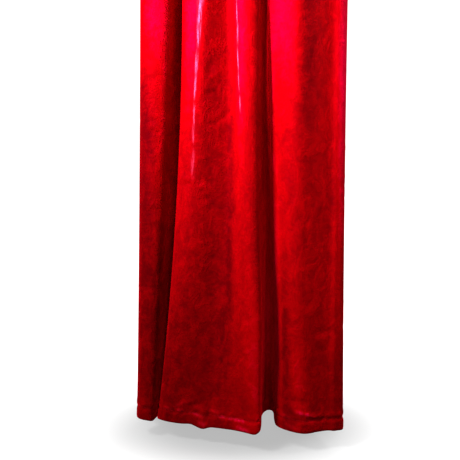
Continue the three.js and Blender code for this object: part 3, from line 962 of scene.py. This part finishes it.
# -------------------- bodice pieces

BODICE_COLUMNS = 161
BODICE_ROWS = 141
STITCHED_IN = 7.0  # from the neck and armhole edges
BODICE_CRUSHES = 160
CRUSHED_WIDTH, CRUSHED_HEIGHT = 420, 400  # of the stretch of marks that a bodice piece lies in
BODICE_CRUSH = 0.5  # of the marks' heights
EDGE_PUFF, EDGE_DRAWN, WAIST_PULL, BODICE_SIDE_DRAWN = 0.45, 0.7, 0.9, 0.9


def edge_rise(grid, columns):
    """The turned neck and armhole edge, and the line where it is stitched down."""
    free = (np.abs(columns) < NECK_SPAN) | (np.abs(columns) > ARMHOLE_FROM)
    apart = np.array([np.linalg.norm(grid - point, axis=2) for point in grid[0, free]]).min(axis=0)
    return EDGE_PUFF * bell(apart - 3, 2.5) - EDGE_DRAWN * bell(apart - STITCHED_IN, 2)


def waist_rise(a, up):
    """Short pulls above the gathered waist, and the dip at its seam."""
    pull = np.sin(a * 0.2 + 1.7 * np.sin(a * 0.035)) * np.exp(-up / 22)
    return WAIST_PULL * pull * smooth(up / 5) - WAIST_DRAWN * bell(up, 2.5)


def edge_lines(grid, normals, columns):
    """Where the armholes' and the neck's edges are stitched down, each clear of its two ends."""
    into = unit(np.cross(normals[0], np.gradient(grid[0], axis=0)))
    into *= np.sign(np.sum(into * (grid[1] - grid[0]), axis=1))[:, None]
    line = grid[0] + into * STITCHED_IN
    spans = ((-HALF_SPAN, -ARMHOLE_FROM), (-NECK_SPAN, NECK_SPAN), (ARMHOLE_FROM, HALF_SPAN))
    near = 0.01
    return [line[(columns > start - near) & (columns < end + near)][1:-1] for start, end in spans]


def bodice_piece(name, is_front, seed):
    """A bodice piece's cloth with its turned edges, and their stitches."""
    columns = np.linspace(-HALF_SPAN, HALF_SPAN, BODICE_COLUMNS)
    grid = bodice_grid(is_front, columns, np.linspace(0, 1, BODICE_ROWS))
    a = lengths_along(grid, axis=1)
    a -= a[:, [BODICE_COLUMNS // 2]]
    down = lengths_along(grid)
    up = down[[-1]] - down

    marks = crush_marks(seed, BODICE_CRUSHES, CRUSHED_WIDTH, CRUSHED_HEIGHT)
    rise = BODICE_CRUSH * crease_rise(marks, a + CRUSHED_WIDTH / 2, up)
    rise += edge_rise(grid, columns) + waist_rise(a, up)
    side = np.minimum(a - a[:, [0]], a[:, [-1]] - a)
    rise = rise * smooth(side / SIDE_EASE) - BODICE_SIDE_DRAWN * bell(side, 2.6)
    normals = outward(grid)
    lines = edge_lines(grid, normals, columns)
    outer = grid + normals * rise[..., None]

    seams = (*SIDE_SEAMS, WAIST_OF_BODICE)
    outer, normals = turned_in(outer, normals, seams)
    a, up = padded(a, seams), padded(up, seams)
    coarse = outer[::2, ::2]
    inner = coarse - outward(coarse) * WALL
    attributes = {"painted_highlight": np.zeros_like(a), "pile_and_painted_light": np.zeros_like(a)}
    piece = closed_shell(name, outer, inner, np.stack((a, up), axis=-1), attributes)
    return piece, stitches(piece, lines)


bodice_front, front_edge_stitches = bodice_piece("velvet_bodice_front", True, seed=31)
bodice_back, back_edge_stitches = bodice_piece("velvet_bodice_back", False, seed=37)

# -------------------- materials


def feed(tree, made, inputs):
    """Set a node's inputs to values, or link them from the outputs of other nodes."""
    for key, value in inputs.items():
        if isinstance(value, bpy.types.NodeSocket):
            tree.links.new(value, made.inputs[key])
        else:
            made.inputs[key].default_value = value


def add_node(tree, kind, inputs):
    """A new node with its inputs fed."""
    made = tree.nodes.new(kind)
    feed(tree, made, inputs)
    return made


def new_material(name, values):
    """A material whose shader has these values, with its node tree and the shader."""
    material = bpy.data.materials.new(name)
    material.use_nodes = True
    shader = material.node_tree.nodes["Principled BSDF"]
    feed(material.node_tree, shader, values)
    return material, material.node_tree, shader


def ranged(tree, value, old, new):
    """A value eased over from its old (low, high) range to a new one."""
    inputs = {"Value": value, "From Min": old[0], "From Max": old[1], "To Min": new[0], "To Max": new[1]}
    made = add_node(tree, "ShaderNodeMapRange", inputs)
    made.interpolation_type = "SMOOTHSTEP"
    return made.outputs["Result"]


def maths(tree, operation, a, b):
    """Two numbers added, multiplied or the like."""
    made = add_node(tree, "ShaderNodeMath", {0: a, 1: b})
    made.operation = operation
    return made.outputs[0]


def ramped(tree, value, stops):
    """The colour at a value from 0 to 1, between (position, colour) stops."""
    made = add_node(tree, "ShaderNodeValToRGB", {"Fac": value})
    elements = made.color_ramp.elements
    for position, _ in stops[1:-1]:
        elements.new(position)
    for element, (_, colour) in zip(elements, stops):
        element.color = (*colour, 1)
    return made.outputs["Color"]


def attribute(tree, name):
    """A value that the mesh carries."""
    made = tree.nodes.new("ShaderNodeAttribute")
    made.attribute_name = name
    return made.outputs["Fac"]


def shown_apart(tree, lighting, shown):
    """One shader for the rays that light the scene, and another for those that the camera sees."""
    is_seen = tree.nodes.new("ShaderNodeLightPath").outputs["Is Camera Ray"]
    inputs = {"Fac": is_seen, 1: lighting.outputs[0], 2: shown.outputs[0]}
    return add_node(tree, "ShaderNodeMixShader", inputs).outputs[0]


# The velvet's shades from dark, at 0, to light and pinker, for its mottled pile and for painted light, shade
# and highlights; and the painted highlight's colour on pressed lines and puckers.
VELVET_SHADES_WITH_PAINTED_LIGHT = (
    (0.0, (0.1, 0.0, 0.0005)),
    (0.46, (0.34, 0.0, 0.0008)),
    (0.64, (0.44, 0.0, 0.008)),
    (1.0, (0.62, 0.0, 0.034)),
)
PAINTED_STREAK_HIGHLIGHT = (0.95, 0.1, 0.25, 1)


def velvet():
    """Crushed velvet: mottled pile and painted light, shade and highlights set its colour, and painted
    highlights run in strands along the pressed lines.
    """
    look = {
        "Sheen Weight": 1.0,
        "Sheen Roughness": 0.42,
        "Sheen Tint": (1.0, 0.0, 0.015, 1),
        "Specular IOR Level": 0.1,
        "Specular Tint": (1.0, 0.0, 0.4, 1),
    }
    material, tree, shader = new_material("red_velvet", look)
    place = tree.nodes.new("ShaderNodeTexCoord").outputs["UV"]

    def noise(scale, detail, stretch=(1.0, 1.0), turn=0.0, roughness=0.6, distortion=0.0):
        """A noise over the cloth, whose coordinates are stretched and turned first."""
        inputs = {"Vector": place, "Scale": (*stretch, 1.0), "Rotation": (0, 0, turn)}
        laid = add_node(tree, "ShaderNodeMapping", inputs).outputs["Vector"]
        inputs = {"Vector": laid, "Scale": scale, "Detail": detail}
        inputs |= {"Roughness": roughness, "Distortion": distortion}
        return add_node(tree, "ShaderNodeTexNoise", inputs).outputs["Fac"]

    patches = noise(38.0, 6.0, stretch=(1.0, 0.55), roughness=0.66, distortion=0.8)
    crush = noise(75.0, 4.0, stretch=(0.8, 1.15), turn=0.5, distortion=1.2)
    pile = noise(900.0, 2.0)
    strands = noise(330.0, 3.0, stretch=(1.0, 0.09), distortion=0.5)

    # how light the cloth is: mottled and crushed pile, plus the painted light and shade that the piece
    # carries
    mottle = ranged(tree, patches, (0.3, 0.7), (0.22, 0.5))
    mottle = maths(tree, "ADD", mottle, ranged(tree, crush, (0.3, 0.7), (0.0, 0.16)))
    pile_and_painted_light = maths(tree, "ADD", mottle, maths(tree, "MULTIPLY", attribute(tree, "pile_and_painted_light"), 0.7))
    colour = ramped(tree, maths(tree, "MULTIPLY", pile_and_painted_light, 0.77), VELVET_SHADES_WITH_PAINTED_LIGHT)

    # painted highlights along pressed lines and puckers, broken into uneven strands, which also lower the
    # roughness a little
    lines = ranged(tree, strands, (0.42, 0.56), (0.1, 1.0))
    painted_highlight = maths(tree, "MULTIPLY", attribute(tree, "painted_highlight"), lines)
    painted_streak = tree.nodes.new("ShaderNodeMix")
    painted_streak.data_type = "RGBA"
    feed(tree, painted_streak, {"Factor": painted_highlight, "A": colour, "B": PAINTED_STREAK_HIGHLIGHT})
    rough = ranged(tree, pile_and_painted_light, (0.0, 1.0), (0.7, 0.6))
    rough = maths(tree, "SUBTRACT", rough, maths(tree, "MULTIPLY", painted_highlight, 0.1))

    # dents where it is crushed, and the pile's own grain
    marked = ranged(tree, patches, (0.42, 0.62), (0.15, 1.0))
    dents, grain = maths(tree, "MULTIPLY", crush, marked), maths(tree, "MULTIPLY", pile, 0.06)
    relief = {"Height": maths(tree, "ADD", dents, grain), "Strength": 0.5, "Distance": 0.003}
    bump = add_node(tree, "ShaderNodeBump", relief).outputs[0]
    feed(tree, shader, {"Base Color": painted_streak.outputs["Result"], "Roughness": rough, "Normal": bump})
    return material


def thread():
    """Polyester thread, dyed to match the cloth, with its ply just showing."""
    material, tree, shader = new_material("red_thread", {"Roughness": 0.5, "Specular IOR Level": 0.2})
    place = tree.nodes.new("ShaderNodeTexCoord").outputs["Object"]
    ply = add_node(tree, "ShaderNodeTexNoise", {"Vector": place, "Scale": 1800.0}).outputs["Fac"]
    colour = ramped(tree, ply, ((0.0, (0.16, 0.0, 0.002)), (1.0, (0.42, 0.01, 0.02))))
    feed(tree, shader, {"Base Color": colour})
    return material


red_velvet = velvet()
for piece, node_name, slot in (
    (skirt_front, "skirt_front", "velvet_skirt"),
    (skirt_back, "skirt_back", "velvet_skirt"),
    (bodice_front, "bodice_front", "velvet_bodice"),
    (bodice_back, "bodice_back", "velvet_bodice"),
):
    piece.data.materials.append(red_velvet)
    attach(piece, "root")
    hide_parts(node_name)

red_thread = thread()
for stitching, slot in (
    (front_hem_stitches, "velvet_skirt"),
    (back_hem_stitches, "velvet_skirt"),
    (front_edge_stitches, "velvet_bodice"),
    (back_edge_stitches, "velvet_bodice"),
):
    stitching.data.materials.append(red_thread)
    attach(stitching, "root")

# -------------------- floor, light and camera


def paper():
    """Pale floor paper that glows white, with a soft painted shadow under the dress where its glow is
    dimmer. It doesn't light the cloth above it.
    """
    look = {"Base Color": (0.1, 0.1, 0.1, 1), "Roughness": 0.9, "Specular IOR Level": 0.1}
    look["Emission Color"] = (1, 1, 1, 1)
    material, tree, shader = new_material("floor_paper", look)
    place = tree.nodes.new("ShaderNodeTexCoord").outputs["Object"]
    oval = add_node(tree, "ShaderNodeMapping", {"Vector": place, "Scale": (1.0, 1.35, 1.0)})
    away = add_node(tree, "ShaderNodeVectorMath", {0: oval.outputs["Vector"]})
    away.operation = "LENGTH"
    # painted shadow: the floor glows less within an oval under the dress
    glow_with_painted_shadow = ranged(tree, away.outputs["Value"], (0.12, 0.46), (0.42, 1.1))
    feed(tree, shader, {"Emission Strength": glow_with_painted_shadow})
    dull = add_node(tree, "ShaderNodeBsdfDiffuse", {"Color": (0.05, 0.05, 0.05, 1)})
    feed(tree, tree.nodes["Material Output"], {"Surface": shown_apart(tree, dull, shader)})
    return material


def studio():
    """A world that is white to the camera, and lights the dress only a little."""
    world = bpy.data.worlds.new("studio")
    world.use_nodes = True
    tree = world.node_tree
    tree.nodes.clear()
    ambient = add_node(tree, "ShaderNodeBackground", {"Color": (1, 1, 1, 1), "Strength": 0.05})
    white = add_node(tree, "ShaderNodeBackground", {"Color": (1, 1, 1, 1), "Strength": 1.0})
    add_node(tree, "ShaderNodeOutputWorld", {"Surface": shown_apart(tree, ambient, white)})
    return world


def soft_light(name, place, aim, size, watts, spread=180):
    """A square area light at a place, turned to its aim."""
    data = bpy.data.lights.new(name, "AREA")
    data.size = size
    data.energy = watts
    data.spread = math.radians(spread)
    made = linked(name, data)
    made.location = place
    made.rotation_euler = (Vector(aim) - Vector(place)).to_track_quat("-Z", "Y").to_euler()


# From here on, lengths and places are in metres.
FLOOR_CLEARANCE = 0.045  # below the hem, because the dress hangs as if worn
FLOOR_RADIUS = 3.0
bpy.ops.mesh.primitive_circle_add(vertices=96, radius=FLOOR_RADIUS, fill_type="NGON")
floor = bpy.context.object
floor.name = "floor"
floor.location = (0, 0, cad_low.z - FLOOR_CLEARANCE)
floor.data.materials.append(paper())

soft_light("key", (-0.80, -0.78, -0.12), (0.0, -0.1, -0.66), 0.3, 12, spread=85)
soft_light("front_fill", (0.12, -1.75, -0.5), (0.0, -0.1, -0.8), 0.5, 6.5)
soft_light("right_fill", (1.22, -0.2, 0.0), (0.0, -0.05, -0.75), 0.4, 14)
soft_light("back_fill", (0.7, 1.5, 0.1), (0, 0, -0.7), 0.8, 22)
bpy.context.scene.world = studio()

CAMERA = {"lens": 65.9, "sensor": 36.0, "place": (-0.020, -1.705, -0.700), "tilt_down": 12}
lens = bpy.data.cameras.new("camera")
lens.lens = CAMERA["lens"]
lens.sensor_width = CAMERA["sensor"]
camera = linked("camera", lens)
camera.location = CAMERA["place"]
camera.rotation_euler = (math.radians(90 - CAMERA["tilt_down"]), 0, 0)
bpy.context.scene.camera = camera
bpy.context.scene.view_settings.view_transform = "Standard"
bpy.context.scene.view_settings.look = "Medium High Contrast"
